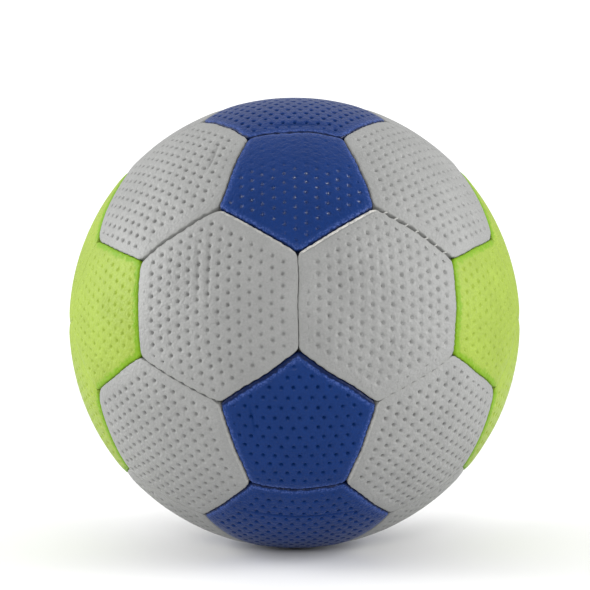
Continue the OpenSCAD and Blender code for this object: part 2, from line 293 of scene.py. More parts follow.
# Camera, fitted to the places of 24 panel corners. Its distance is in ball radii.
CAMERA_REACH = 11.15
CAMERA_TILT, CAMERA_YAW, CAMERA_ROLL = (math.radians(a) for a in (-4.925, 0.922, 0.417))
FRAME_WIDTH, SENSOR = 590, 36
OUTLINE_PIXELS = 225.5
BALL_PIXEL = (294.5, 322.7)
CLIP_SPAN = (0.05, 20)

# Studio, in metres: light of the room against the way it grows in, along it, and that way
ROOM_LIGHT = (0.22, 1.3)
ROOM_WAY = (0, 0.25, 0.95)
FLOOR_RADIUS, FLOOR_SIDES, FLOOR_WHITE = 0.6, 96, 0.74
DOME_RADIUS, DOME_LIGHT = 6, 1.2
# Softboxes: degrees to the right of the camera and above the floor, size, distance, and light
SOFTBOXES = (
    ("left_box", -96, 16, 0.7, 1.25, 1.2),
    ("right_box", 82, 16, 0.7, 1.25, 1.1),
    ("front_box", -6, 16, 0.3, 1.5, 0.44),
)


def are_lime(first, second):
    return SLOTS[first] == LIME and SLOTS[second] == LIME


def unit(v):
    v = np.asarray(v, float)
    return v / np.linalg.norm(v)


def leaned(v):
    """The direction v after the ball has been set down at rest."""
    x, y, z = v
    c, s = math.cos(REST_LEAN), math.sin(REST_LEAN)
    return np.array([x, y * c + z * s, z * c - y * s])


def smoothstep(low, high, x):
    t = np.clip((x - low) / (high - low), 0, 1)
    return t * t * (3 - 2 * t)


CENTRES = {name: unit(leaned(direction)) for name, _, direction, _ in PANELS}
SEAM_CHORD = 2 * BALL_RADIUS / math.sqrt(9 * GOLDEN + 10)


def edge_angle(sides):
    """Angle from a panel's middle to the middle of its edge."""
    corner = SEAM_CHORD / (2 * math.sin(math.pi / sides))
    edge = SEAM_CHORD / (2 * math.tan(math.pi / sides))
    return math.atan(edge / math.sqrt(BALL_RADIUS**2 - corner**2))


def neighbours_of(name):
    """The panels across this one's edges, the one that its local +X faces first, anticlockwise."""
    centre = CENTRES[name]
    angle = {n: 1 - float(centre @ c) for n, c in CENTRES.items() if n != name}
    near = sorted(angle, key=angle.get)[: SIDES[name]]
    other_kind = [n for n in near if SIDES[n] != SIDES[name]]
    first = min(other_kind or near, key=list(CENTRES).index)
    axes = axes_towards(centre, CENTRES[first])

    def azimuth(n):
        local = axes.T @ CENTRES[n]
        return round(math.degrees(math.atan2(local[1], local[0])) % 360, 3) % 360

    return axes, sorted(near, key=azimuth)


def axes_towards(z, mark):
    """Local axes in columns, with +Z along z and +X towards the mark."""
    x = unit(mark - (mark @ z) * z)
    return np.column_stack([x, np.cross(z, x), z])


class Seam:
    """How far one seam stands open and wanders, along its length, seen from its first panel."""

    def __init__(self, first, second):
        self.first, self.second = first, second
        self.rng = random.Random(f"seam {first} {second}")
        kind = SEAM_KIND.get((first, second), "flush" if are_lime(first, second) else "plain")
        self.low, self.high, self.pockets, self.fold, self.strand_depth = SEAM_KINDS[kind]
        self.waves = [
            [self.rng.uniform(*span) for span in (tall, length, FULL_TURN)] for tall, length in SEAM_WAVES
        ]

    def wander(self, s):
        return sum(a * np.sin(2 * math.pi * s / length + phase) for a, length, phase in self.waves)

    def half_gap(self, s):
        step = 2 * STITCH_REACH / (STITCHES - 1) * BALL_RADIUS
        swing = 0.5 - 0.5 * np.cos(2 * math.pi * (s / step + (STITCHES - 1) / 2))
        return self.low + (self.high - self.low) * swing**self.pockets

    def bow(self, panel, s):
        """How far the seam as a whole bows into this panel, at s along it."""
        pair = (self.first, self.second)
        into_first = SEAM_BOWS.get(pair[::-1], 0) - SEAM_BOWS.get(pair, 0)
        sign = 1 if panel == self.first else -1
        return sign * into_first * np.maximum(np.cos(math.pi * s / SEAM_LENGTH), 0)

    def edge(self, panel, s):
        """Where this panel's edge lies, measured inwards from the ideal seam, at s along it."""
        if panel == self.first:
            return self.bow(panel, s) + self.wander(s) + self.half_gap(s)
        return self.bow(panel, s) - self.wander(-s) + self.half_gap(s)


SEAMS = {}


def seam_between(a, b):
    key = frozenset((a, b))
    if key not in SEAMS:
        SEAMS[key] = Seam(*sorted(key))
    return SEAMS[key]


class Panel:
    """One panel's place, its seams, and the flat coordinates that its surface is drawn in."""

    def __init__(self, name):
        self.name = name
        self.sides = SIDES[name]
        self.axes, self.neighbours = neighbours_of(name)
        self.seams = [seam_between(name, n) for n in self.neighbours]
        self.rng = random.Random(f"panel {name}")
        self.angle = edge_angle(self.sides)
        turns = [2 * math.pi * k / self.sides for k in range(self.sides)]
        ca, sa = math.cos(self.angle), math.sin(self.angle)
        self.normals = np.array([(-math.cos(a) * ca, -math.sin(a) * ca, sa) for a in turns])
        self.along = np.array([(-math.sin(a), math.cos(a), 0) for a in turns])
        spans = (UNEVEN_HEIGHT, FULL_TURN, UNEVEN_LENGTH, FULL_TURN)
        self.waves = [[self.rng.uniform(*span) for span in spans] for _ in range(UNEVEN_WAVES)]
        right = unit(np.cross([0, 0, 1], CENTRES[name]))
        upright = self.axes.T @ np.column_stack([right, np.cross(CENTRES[name], right)])
        self.upright = upright[:2]
        self.rounds = [
            CORNER_ROUND if SLOTS[name] == LIME or not are_lime(a, b) else LIME_CORNER_ROUND
            for a, b in zip(self.neighbours, self.neighbours[1:] + self.neighbours[:1])
        ]

    def directions(self, flat):
        """Unit directions, in local axes, of flat points in millimetres from the panel's middle."""
        reach = np.hypot(*flat.T)
        theta = reach / BALL_RADIUS
        side = np.sin(theta) / np.where(reach > TINY, reach, 1)
        return np.column_stack([flat[:, 0] * side, flat[:, 1] * side, np.cos(theta)])

    def inside(self, flat, ideal=False):
        """Distance inwards from the panel's edge, with its corners rounded."""
        u = self.directions(flat)
        distance = BALL_RADIUS * (u @ self.normals.T)
        s = BALL_RADIUS * (u @ self.along.T)
        for k, seam in enumerate(self.seams):
            shift = seam.bow if ideal else seam.edge
            distance[:, k] -= shift(self.name, s[:, k])
        least = distance.min(1)
        for k, radius in enumerate(self.rounds):
            lack = np.hypot(
                np.maximum(radius - distance[:, k], 0),
                np.maximum(radius - distance[:, (k + 1) % self.sides], 0),
            )
            least = np.where(lack > 0, np.minimum(least, radius - lack), least)
        return least

    def near_seams(self, flat, values):
        """The values of the panel's seams, blended by how near each point lies to each seam."""
        distance = BALL_RADIUS * (self.directions(flat) @ self.normals.T)
        share = np.exp(-(distance - distance.min(1)[:, None]) / SEAM_BLEND)
        return (share * values).sum(1) / share.sum(1)

    def folds(self, flat):
        """Radius of the folded edge at these points."""
        share = FOLD_SHARES[SLOTS[self.name]]
        values = []
        for n, seam in zip(self.neighbours, self.seams):
            rim = RIMS.get((self.name, n), 0)
            values.append((1 - rim) * share * seam.fold + rim * RIM_FOLD)
        return self.near_seams(flat, values)

    def gaps(self, flat):
        """Mean half-gap of the seam at these points."""
        return self.near_seams(flat, [(s.low + s.high) / 2 for s in self.seams])

    def rims(self, flat):
        return self.near_seams(flat, [RIMS.get((self.name, n), 0) for n in self.neighbours])

    def bands(self, flat):
        """How much of the painted seam shade these points take: 0 between two lime panels, 1 at
        other seams, and 2 where that shade reaches further in."""
        values = []
        for n in self.neighbours:
            broad = 2.0 if (self.name, n) in BROAD_BANDS else 1.0
            values.append(0.0 if are_lime(self.name, n) else broad)
        return self.near_seams(flat, values)

    def ring(self, turns, inset, ideal=False):
        """Flat points, one for each turn, that lie this far inside the panel's edge."""
        way = np.column_stack([np.cos(turns), np.sin(turns)])
        low, high = np.zeros(len(turns)), np.full(len(turns), EDGE_SEARCH * BALL_RADIUS)
        for _ in range(EDGE_HALVINGS):
            middle = (low + high) / 2
            is_inside = self.inside(way * middle[:, None], ideal) > inset
            low, high = np.where(is_inside, middle, low), np.where(is_inside, high, middle)
        return way * low[:, None]

    def place(self, flat, depth):
        """Points in the part's frame, in millimetres, at this depth below the ball's surface."""
        return (self.directions(flat) * (BALL_RADIUS - depth)[:, None]) @ self.axes.T

    def sag(self, flat, inside):
        """How far the surface falls below the ball: its shoulders, and a slight unevenness."""
        shoulder = SHOULDER_DROP * np.clip(1 - inside / SHOULDER_WIDTH, 0, 1) ** 2
        uneven = sum(
            a + a * np.sin((flat[:, 0] * math.cos(t) + flat[:, 1] * math.sin(t)) * 2 * math.pi / w + p)
            for a, t, w, p in self.waves
        )
        groove = RIM_DEPTH * np.exp(-(((inside - RIM_WIDTH) / RIM_GROOVE) ** 2)) * self.rims(flat)
        return shoulder + uneven + groove + creases(self, flat)


def creases(panel, flat):
    """How far the surface falls in the panel's creases."""
    depth = np.zeros(len(flat))
    for line, width, drop in CREASES.get(panel.name, []):
        points = np.array(line) @ panel.upright.T
        spans = np.linalg.norm(np.diff(points, axis=0), axis=1)
        starts = np.concatenate([[0], np.cumsum(spans)]) / spans.sum()
        nearest, place = np.full(len(flat), np.inf), np.zeros(len(flat))
        for k, length in enumerate(spans):
            way = (points[k + 1] - points[k]) / length
            along = np.clip((flat - points[k]) @ way, 0, length)
            away = np.linalg.norm(flat - points[k] - along[:, None] * way, axis=1)
            is_nearer = away < nearest
            nearest = np.where(is_nearer, away, nearest)
            place = np.where(is_nearer, starts[k] + (starts[k + 1] - starts[k]) * along / length, place)
        taper = np.sin(math.pi * np.clip(place, CREASE_END, 1 - CREASE_END)) ** CREASE_TAPER
        depth += drop * taper * np.exp(-((nearest / width) ** 2))
    return depth


def dimple_turn(panel):
    """Turn of the panel's columns of dimples in its flat coordinates, in degrees."""
    turn = 60 * panel.rng.randrange(3)
    if panel.name in LATTICE_FACES:
        neighbour, more = LATTICE_FACES[panel.name]
        turn = 360 / panel.sides * panel.neighbours.index(neighbour) + more
    return 90 + turn


def dimple_places(panel):
    """Flat middles of the panel's dimples, and how deep each one sinks."""
    turn = math.radians(dimple_turn(panel))
    column = np.array([math.cos(turn), math.sin(turn)])
    row = np.array([-math.sin(turn), math.cos(turn)])
    shift = [panel.rng.uniform(-DIMPLE_SHIFT, DIMPLE_SHIFT) for _ in range(2)]
    places = []
    for i in range(-DIMPLE_SPAN, DIMPLE_SPAN + 1):
        for j in range(-DIMPLE_SPAN, DIMPLE_SPAN + 1):
            along = (i + shift[0] + 0.5 * (j % 2)) * DIMPLE_PITCH
            across = (j + shift[1]) * DIMPLE_ROWS
            jitter = np.array([panel.rng.gauss(0, DIMPLE_JITTER), panel.rng.gauss(0, DIMPLE_JITTER)])
            places.append(along * column + across * row + jitter)
    places = np.array(places)
    places = places[np.hypot(*places.T) < GRID_REACH * BALL_RADIUS]
    inside = panel.inside(places)
    keep = inside > DIMPLE_EDGE[0]
    if panel.name == VALVE_PANEL:
        keep &= np.hypot(*places.T) > VALVE_HOLE_RADIUS + VALVE_ROOM
    places, inside = places[keep], inside[keep]
    rise = EDGE_SHARE + (1 - EDGE_SHARE) * smoothstep(*DIMPLE_EDGE, inside)
    depth = DIMPLE_DEPTH * DIMPLE_SHARES[SLOTS[panel.name]] * rise
    depth *= np.array([panel.rng.uniform(*DIMPLE_SPREAD) for _ in places])
    if panel.name in WORN:
        way, low, high, loss = WORN[panel.name]
        depth *= 1 - loss * smoothstep(low, high, places @ panel.upright @ way)
    return places, depth


def triangulate(points, loops, hole_radius):
    """Triangles between the closed loops, which are lists of indices of the flat points."""
    edges = [(loop[k], loop[(k + 1) % len(loop)]) for loop in loops for k in range(len(loop))]
    flat = [Vector(p) for p in points]
    out, _, faces, orig, _, _ = delaunay_2d_cdt(flat, edges, [], 1, SAME_POINT, True)
    assert len(out) == len(points), "flat points fell together"
    source = [o[0] for o in orig]
    triangles = np.array([[source[k] for k in face] for face in faces])
    if hole_radius:
        middle = points[triangles].mean(1)
        triangles = triangles[np.hypot(*middle.T) > hole_radius]
    return triangles


def hex_grid(step, reach):
    """Flat points on rows of triangles, out to this reach."""
    rows = int(reach / (step * GRID_ROW)) + 1
    columns = int(reach / step) + 1
    j, i = np.mgrid[-rows : rows + 1, -columns : columns + 1].reshape(2, -1)
    return np.column_stack([(i + 0.5 * (j % 2)) * step, j * step * GRID_ROW])


def new_object(name, data):
    made = bpy.data.objects.new(name, data)
    bpy.context.scene.collection.objects.link(made)
    return made


class Sheet:
    """Points and triangles of one mesh, gathered piece by piece."""

    def __init__(self):
        self.points, self.faces, self.count = [], [], 0
        self.values = {name: [] for name in POINT_VALUES}

    def add(self, points, **values):
        """Adds points, with their values by name, and gives the index of the first."""
        start = self.count
        self.points.append(points)
        for name, rows in self.values.items():
            rows.append(np.broadcast_to(np.asarray(values.get(name, 0), float), len(points)))
        self.count += len(points)
        return start

    def strip(self, first, second):
        """Quads between two equal rings of points, given by their indices."""
        for k in range(len(first)):
            after = (k + 1) % len(first)
            self.faces.append((first[k], first[after], second[after], second[k]))

    def make(self, name, node, material, sharp=SHARP):
        """The sheet as a piece that stands for this node."""
        mesh = bpy.data.meshes.new(name)
        mesh.from_pydata((np.concatenate(self.points) * MM).tolist(), [], self.faces)
        for key, values in self.values.items():
            values = np.concatenate(values).astype(np.float32)
            if values.any():
                mesh.attributes.new(key, "FLOAT", "POINT").data.foreach_set("value", values)
        mesh.validate()
        mesh.polygons.foreach_set("use_smooth", [True] * len(mesh.polygons))
        mesh.set_sharp_from_angle(angle=math.radians(sharp))
        mesh.materials.append(material)
        piece = new_object(name, mesh)
        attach(piece, "root")
        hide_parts(node)
        return piece


def cap_points(panel, inset, step, dimples, ideal):
    """Flat points inside a ring of the panel, from the valve's hole, a grid and the dimples, with how
    far each falls, and the number of points round the hole."""
    hole_turns = np.arange(HOLE_POINTS if panel.name == VALVE_PANEL else 0) * 2 * math.pi / HOLE_POINTS
    hole = VALVE_HOLE_RADIUS * np.column_stack([np.cos(hole_turns), np.sin(hole_turns)])
    grid = hex_grid(step, GRID_REACH * BALL_RADIUS) + GRID_SHIFT
    keep = panel.inside(grid, ideal) > inset + RING_ROOM * step
    if len(hole):
        keep &= np.hypot(*grid.T) > VALVE_HOLE_RADIUS + HOLE_ROOM * step
    grid = grid[keep]
    extra, drop = np.zeros((0, 2)), np.zeros(0)
    if dimples is not None:
        middles, depths = dimples
        away = np.linalg.norm(grid[:, None] - middles[None], axis=2).min(1)
        grid = grid[away > DIMPLE_RADIUS * DIMPLE_RINGS[-1][0] + DIMPLE_ROOM]
        extra, drop = dimple_points(middles, depths)
        is_in = panel.inside(extra, ideal) > inset + POINT_ROOM
        extra, drop = extra[is_in], drop[is_in]
    fall = np.concatenate([np.zeros(len(hole) + len(grid)), drop])
    return np.concatenate([hole, grid, extra]), fall, len(hole)


def add_cap(sheet, panel, ring, flat, inset, depth, step, is_top, dimples, ideal):
    """Fills in a ring of a layer. The result is the points round the valve's hole."""
    inner, fall, hole_count = cap_points(panel, inset, step, dimples, ideal)
    spread = panel.inside(inner, ideal)
    place = panel.place(inner, depth + panel.sag(inner, spread) + fall)
    press = fall / DIMPLE_DEPTH
    glint = press * (panel.name in GLINTS)
    # The depth pressed, with the creases, also sets the painted shade down in dimples and creases
    press = np.maximum(press, CREASE_SHADE * creases(panel, inner)) * PALE_DIMPLES.get(panel.name, 1)
    start = sheet.add(place, inset=spread, press=press, glint=glint, band=panel.bands(inner))
    points = np.concatenate([flat, inner])
    index = np.array(ring + [start + k for k in range(len(inner))])
    loops = [list(range(len(ring)))]
    if hole_count:
        loops.append([len(ring) + k for k in range(hole_count)])
    triangles = triangulate(points, loops, VALVE_HOLE_RADIUS * HOLE_SHARE if hole_count else 0)
    corner = points[triangles]
    turn = np.cross(corner[:, 1] - corner[:, 0], corner[:, 2] - corner[:, 0])
    outward = turn > 0 if is_top else turn < 0
    triangles[~outward] = triangles[~outward][:, ::-1]
    sheet.faces.extend(map(tuple, index[triangles].tolist()))
    return [start + k for k in range(hole_count)]


def add_layer(sheet, panel, profile, ring_count, top_step, low_step, dimples=None, ideal=False):
    """One closed layer of a panel. The profile gives, for the fold's radius and the seam's gap at each
    point of the edge, pairs of inset and depth, from the outside to the inside. The end rings are
    filled in."""
    turns = np.arange(ring_count) * 2 * math.pi / ring_count
    edge = panel.ring(turns, 0, ideal)
    rings, flats, pairs = [], [], []
    for inset, depth in profile(panel.folds(edge), panel.gaps(edge)):
        inset, depth = np.zeros(ring_count) + inset, np.zeros(ring_count) + depth
        flat = panel.ring(turns, inset, ideal)
        sag = np.where(depth >= FOLD_DEPTH, 0, panel.sag(flat, inset))
        # The rim's painted highlight, on the top of a raised rim
        rim = panel.rims(flat) * (inset < RIM_WIDTH)
        start = sheet.add(panel.place(flat, depth + sag), inset=inset, rim=rim, band=panel.bands(flat))
        rings.append([start + k for k in range(ring_count)])
        flats.append(flat)
        pairs.append((inset.max(), depth.mean()))
    for first, second in zip(rings, rings[1:]):
        sheet.strip(first, second)
    top_hole = add_cap(sheet, panel, rings[0], flats[0], *pairs[0], top_step, True, dimples, ideal)
    low_hole = add_cap(sheet, panel, rings[-1], flats[-1], *pairs[-1], low_step, False, None, ideal)
    sheet.strip(low_hole, top_hole)


def dimple_points(middles, depths):
    """Rings of flat points round each dimple's middle, with how deep each lies."""
    points, drops = [], []
    for (x, y), depth in zip(middles, depths):
        points.append((x, y))
        drops.append(depth)
        for share, count in DIMPLE_RINGS:
            reach = share * DIMPLE_RADIUS
            for k in range(count):
                turn = 2 * math.pi * (k + 0.5 * (count % 4 == 2)) / count
                points.append((x + reach * math.cos(turn), y + reach * math.sin(turn)))
                drops.append(depth * max(0.0, 1 - share**DIMPLE_FLOOR) ** DIMPLE_CURVE)
    return np.array(points), np.array(drops)


def arc(radius, inset, depth, outward=True):
    """Section of a fold: pairs of inset and depth on an arc, from its top to its side or back."""
    pairs = []
    for k in range(ARC_STEPS + 1):
        t = math.pi / 2 * (1 - k / ARC_STEPS)
        pairs.append((inset - radius * math.cos(t), depth - radius * math.sin(t)))
    return pairs if outward else pairs[::-1]


def skin_profile(fold, gap):
    """The skin's section over its folded edge, from the outside to the inside. Over the fold it is
    an arc, with its flat part on rings where the surface needs them, and down in the seam the wall
    leans over to meet the other panel's."""
    flat = [(inset, 0) for inset in RIM_RINGS]
    over = []
    for inset in FINE_RINGS + FOLD_RINGS:
        lack = np.maximum(fold - inset, 0)
        over.append((inset, fold - np.sqrt(np.maximum(fold**2 - lack**2, 0))))
    inner = np.maximum(fold - SKIN, LEAST_FOLD)
    under = arc(inner, SKIN + inner, SKIN + inner, outward=False)
    wall = [(0, fold), (-gap, MEETING_DEPTH - MEETING_RISE * gap), (-gap, FOLD_DEPTH)]
    wall += [(SKIN, FOLD_DEPTH), (SKIN, FLAP_TOP)]
    return flat + over + wall + under


def rounded_profile(side, depth, thickness, radius):
    """A pad's section, with both rims rounded."""
    top = arc(radius, side + radius, depth + radius)
    low = [(inset, 2 * depth + thickness - d) for inset, d in reversed(top)]
    return lambda fold, gap: top + low


def build_skin(panel, material):
    sheet = Sheet()
    step = CREASED_GRID if panel.name in CREASES else SKIN_GRID
    add_layer(sheet, panel, skin_profile, SKIN_RING, step, INNER_GRID, dimple_places(panel))
    return sheet.make(panel.name + "_skin", panel.name, material)


def tube(sheet, path, radius, squash=1.0):
    """A tube with closed ends round a path of points."""
    path = np.asarray(path, float)
    ahead = np.gradient(path, axis=0)
    up = unit(path[len(path) // 2])
    rows = []
    for point, way in zip(path, ahead):
        way = unit(way)
        side = unit(np.cross(way, up))
        other = np.cross(side, way)
        turns = np.arange(TUBE_SIDES) * 2 * math.pi / TUBE_SIDES
        ring = point + radius * (np.outer(np.cos(turns), side) * squash + np.outer(np.sin(turns), other))
        start = sheet.add(ring)
        rows.append([start + k for k in range(TUBE_SIDES)])
    for first, second in zip(rows, rows[1:]):
        sheet.strip(first, second)
    sheet.faces.append(tuple(rows[0]))
    sheet.faces.append(tuple(reversed(rows[-1])))


def seam_axes(panel, k):
    """Columns: along the seam, across it into the panel, and outwards through its middle."""
    turn = 2 * math.pi * k / panel.sides
    a = panel.angle
    out = np.array([math.cos(turn) * math.sin(a), math.sin(turn) * math.sin(a), math.cos(a)])
    local = np.column_stack([panel.along[k], panel.normals[k], out])
    return panel.axes @ local


def add_seam_thread(sheet, panel, k):
    """The thread of one seam: a run behind each folded edge, and a crossing at each stitch."""
    axes = seam_axes(panel, k)
    seam = panel.seams[k]
    reach = STITCH_REACH + THREAD_RADIUS * 2 / STITCH_RADIUS

    def at(angle, side, radius):
        side += seam.bow(panel.name, radius * math.sin(angle))
        return axes @ np.array([radius * math.sin(angle), side, radius * math.cos(angle)])

    for side in (-RUN_SIDE, RUN_SIDE):
        turns = np.linspace(-reach, reach, RUN_STEPS)
        pull = RUN_PULL * np.cos((turns + STITCH_REACH) * math.pi * (STITCHES - 1) / STITCH_REACH)
        path = [at(t, side, STITCH_RADIUS + p) for t, p in zip(turns, pull)]
        tube(sheet, path, THREAD_RADIUS, RUN_SQUASH)
    for angle in np.linspace(-STITCH_REACH, STITCH_REACH, STITCHES):
        slant = seam.rng.uniform(-CROSSING_SLANT, CROSSING_SLANT) / STITCH_RADIUS
        sides = np.linspace(-RUN_SIDE, RUN_SIDE, CROSSING_STEPS)
        tube(sheet, [at(angle + slant * s, s, STITCH_RADIUS) for s in sides], CROSSING_RADIUS)
        if seam.strand_depth:
            add_strand(sheet, at, angle, seam)


def add_strand(sheet, at, angle, seam):
    """The strand of a stitch that shows in the seam's mouth. Its ends dive under the folds."""
    slant = seam.rng.uniform(*STRAND_SLANT) / BALL_RADIUS
    sides = np.linspace(-STRAND_REACH, STRAND_REACH, STRAND_STEPS)
    top = BALL_RADIUS - seam.strand_depth
    path = [at(angle + slant * s, s, top - STRAND_DIVE * s**2) for s in sides]
    tube(sheet, path, CROSSING_RADIUS)


def build_bladder(valve, material):
    """A hollow rubber ball with the raised lines of its mould, open at the valve."""
    sheet = Sheet()
    turns = np.arange(BLADDER_TURNS) * 2 * math.pi / BLADDER_TURNS
    first = math.asin(VALVE_HOLE_RADIUS / BLADDER_RADIUS)
    shells = []
    for radius, ridge in ((BLADDER_RADIUS, MOULD_RIDGE), (BLADDER_RADIUS - BLADDER_WALL, 0.0)):
        rows = []
        for theta in np.linspace(first, math.pi * BLADDER_END, BLADDER_STEPS):
            around = [np.sin(theta) * np.cos(turns), np.sin(theta) * np.sin(turns)]
            local = np.column_stack(around + [np.full(BLADDER_TURNS, np.cos(theta))])
            mould = np.minimum(np.abs(local[:, 0]), np.abs(local[:, 1])) * radius
            line = ridge * np.exp(-((mould / MOULD_WIDTH) ** 2)) * min(1, theta * MOULD_START)
            start = sheet.add((local * (radius + line)[:, None]) @ valve.axes.T)
            rows.append([start + k for k in range(BLADDER_TURNS)])
        end = sheet.add(np.array([[0, 0, -radius]]) @ valve.axes.T)
        shells.append((rows, end))
    (outer, outer_end), (inner, inner_end) = shells
    for above, below in zip(outer, outer[1:]):
        sheet.strip(below, above)
    for above, below in zip(inner, inner[1:]):
        sheet.strip(above, below)
    for k in range(BLADDER_TURNS):
        after = (k + 1) % BLADDER_TURNS
        sheet.faces.append((outer[-1][k], outer_end, outer[-1][after]))
        sheet.faces.append((inner[-1][k], inner[-1][after], inner_end))
    sheet.strip(outer[0], inner[0])
    return sheet.make("bladder_rubber_ball", "bladder", material)


class Nodes:
    """A small helper that puts shader nodes in a new material or world and links them."""

    def __init__(self, name, kind="materials", shader="Principled BSDF"):
        self.owner = getattr(bpy.data, kind).new(name)
        self.owner.use_nodes = True
        self.tree = self.owner.node_tree
        self.shader = self.tree.nodes[shader]

    def fill(self, socket, value):
        """Gives an input a value, or what another node puts out."""
        if isinstance(value, bpy.types.NodeSocket):
            self.tree.links.new(value, socket)
        else:
            socket.default_value = value

    def set(self, **values):
        for name, value in values.items():
            self.fill(self.shader.inputs[name.replace("_", " ")], value)

    def add(self, kind, inputs=(), **settings):
        node = self.tree.nodes.new("ShaderNode" + kind)
        for key, value in settings.items():
            setattr(node, key, value)
        for key, value in dict(inputs).items():
            self.fill(node.inputs[key], value)
        return node

    def point_value(self, name):
        return self.add("Attribute", attribute_name=name).outputs["Fac"]

    def texture(self, kind, inputs, **settings):
        """A texture that is fixed to the piece."""
        place = self.add("TexCoord").outputs["Object"]
        return self.add(kind, {"Vector": place, **inputs}, **settings).outputs["Fac"]

    def noise(self, scale, detail=3.0, roughness=0.5):
        return self.texture("TexNoise", {"Scale": scale, "Detail": detail, "Roughness": roughness})

    def wave(self, way, scale, distortion):
        inputs = {"Scale": scale, "Distortion": distortion}
        return self.texture("TexWave", inputs, wave_type="BANDS", bands_direction=way)

    def ramp(self, source, low, high, first, last):
        """Maps source from low..high to first..last, as a number."""
        inputs = {"Value": source, "From Min": low, "From Max": high, "To Min": first, "To Max": last}
        return self.add("MapRange", inputs).outputs["Result"]

    def math(self, operation, a, b):
        return self.add("Math", {0: a, 1: b}, operation=operation).outputs[0]

    def times(self, a, b):
        return self.math("MULTIPLY", a, b)

    def mix(self, factor, a, b):
        node = self.add("Mix", data_type="RGBA")
        for key, value in (("Factor", factor), ("A", a), ("B", b)):
            self.fill(next(s for s in node.inputs if s.name == key and s.enabled), value)
        return next(s for s in node.outputs if s.enabled)

    def bump(self, height, strength, distance, below=None):
        inputs = {"Height": height, "Strength": strength, "Distance": distance}
        if below is not None:
            inputs["Normal"] = below
        return self.add("Bump", inputs).outputs["Normal"]


def rgba(color, tone=1):
    return (*(c * tone for c in color), 1.0)


def leather(name, color, seam_shade, rim_highlight, roughness, shine, glint, pit_shade, reach, jagged, fold_highlight):
    """Embossed synthetic leather: fine grain, faint mottling, painted shade in its dimples, creases and
    seams, a painted highlight along its folds and rims, and more shine where its dimples sink in."""
    n = Nodes(name)
    inset, band, rim, press, shiny = (n.point_value(value) for value in POINT_VALUES)
    mottle = n.ramp(n.noise(*MOTTLE), 0.35, 0.65, 0, 1)
    body = n.mix(mottle, rgba(color, DARK_TONE), rgba(color, LIGHT_TONE))
    body = n.mix(n.ramp(n.noise(*PORES), 0.4, 0.6, PORE_SHARE, 0), body, rgba(color, PORE_TONE))
    # Painted shade, darker down in the dimples and creases
    body = n.mix(n.ramp(press, 0.2, 0.9, 0, pit_shade), body, rgba(color, PIT_SHADE_TONE))
    # Painted shade along the seams, reaching further in on broad bands
    wavy = n.math("ADD", inset, n.ramp(n.noise(*JAGS), 0.3, 0.7, -jagged, jagged))
    wavy = n.math("SUBTRACT", wavy, n.ramp(band, 1, 2, 0, BAND_PUSH))
    near = n.times(n.ramp(wavy, reach * 0.5, reach, 1, 0), n.ramp(band, 0, 1, 0, 1))
    body = n.mix(near, body, rgba(seam_shade))
    # Painted highlight along the folds and on the rims, broken up by noise
    line = n.times(n.ramp(wavy, *LINE_START, 0, fold_highlight), n.ramp(wavy, *LINE_END, 1, 0))
    line = n.times(line, n.ramp(n.noise(*LINE_SPECKLE), 0.45, 0.6, 0.1, 1))
    rim = n.times(rim, n.ramp(n.noise(*RIM_SPECKLE), 0.38, 0.56, 0.25, 1))
    body = n.mix(n.math("MAXIMUM", line, rim), body, rgba(rim_highlight))
    fine = n.noise(*GRAIN)
    rough = n.ramp(fine, 0.3, 0.7, roughness - 0.05, roughness + 0.06)
    rough = n.times(rough, n.ramp(shiny, *GLINT_SPAN, 1, GLINT_ROUGHNESS))
    level = n.times(n.ramp(shiny, *GLINT_SPAN, shine, glint), n.ramp(press, 0.1, 0.6, 1, 0.1))
    relief = n.bump(n.noise(*COARSE_GRAIN), 0.3, 0.0006, n.bump(fine, 0.7, 0.0005))
    n.set(Base_Color=body, Roughness=rough, Specular_IOR_Level=level, Normal=relief, IOR=LEATHER_IOR)
    return n.owner


def foam():
    n = Nodes("closed_cell_foam")
    body = n.mix(n.noise(60), *(rgba(tone) for tone in FOAM_TONES))
    n.set(Base_Color=body, Roughness=0.85, Normal=n.bump(n.noise(1400, 2, 0.6), 0.5, 0.0003))
    return n.owner


def lining():
    """Plain weave: crossed sets of bands."""
    n = Nodes("lining_weave")
    x, y, z = (n.wave(way, WEAVE_SCALE, 0.4) for way in "XYZ")
    height = n.ramp(n.math("ADD", n.math("ADD", x, y), z), 0, 3, 0, 1)
    body = n.mix(height, *(rgba(tone) for tone in LINING_TONES))
    n.set(Base_Color=body, Roughness=0.9, Normal=n.bump(height, 0.6, 0.0003))
    return n.owner


def thread():
    """Waxed thread, with the twist of its strands."""
    n = Nodes("waxed_thread")
    twist = n.wave("DIAGONAL", 700, 0.6)
    body = n.mix(twist, *(rgba(tone) for tone in THREAD_TONES))
    n.set(Base_Color=body, Roughness=0.55, Normal=n.bump(twist, 0.5, 0.0002))
    return n.owner


def rubber(name):
    """Moulded rubber with a trace of the powder that it is packed with."""
    color, roughness, talc = RUBBERS[name]
    n = Nodes(name)
    dust = n.ramp(n.noise(120, 5, 0.7), 0.45, 0.75, 0, talc)
    rough = n.ramp(n.noise(300, 3), 0.3, 0.7, roughness - 0.07, roughness + 0.08)
    relief = n.bump(n.noise(700, 2), 0.15, 0.0002)
    n.set(Base_Color=n.mix(dust, rgba(color), rgba(TALC)), Roughness=rough, Normal=relief)
    return n.owner


def stage_mesh(name, shape, material):
    """A piece of the studio, not of the ball."""
    mesh = bpy.data.meshes.new(name)
    shape.to_mesh(mesh)
    shape.free()
    mesh.materials.append(material)
    piece = new_object(name, mesh)
    return piece


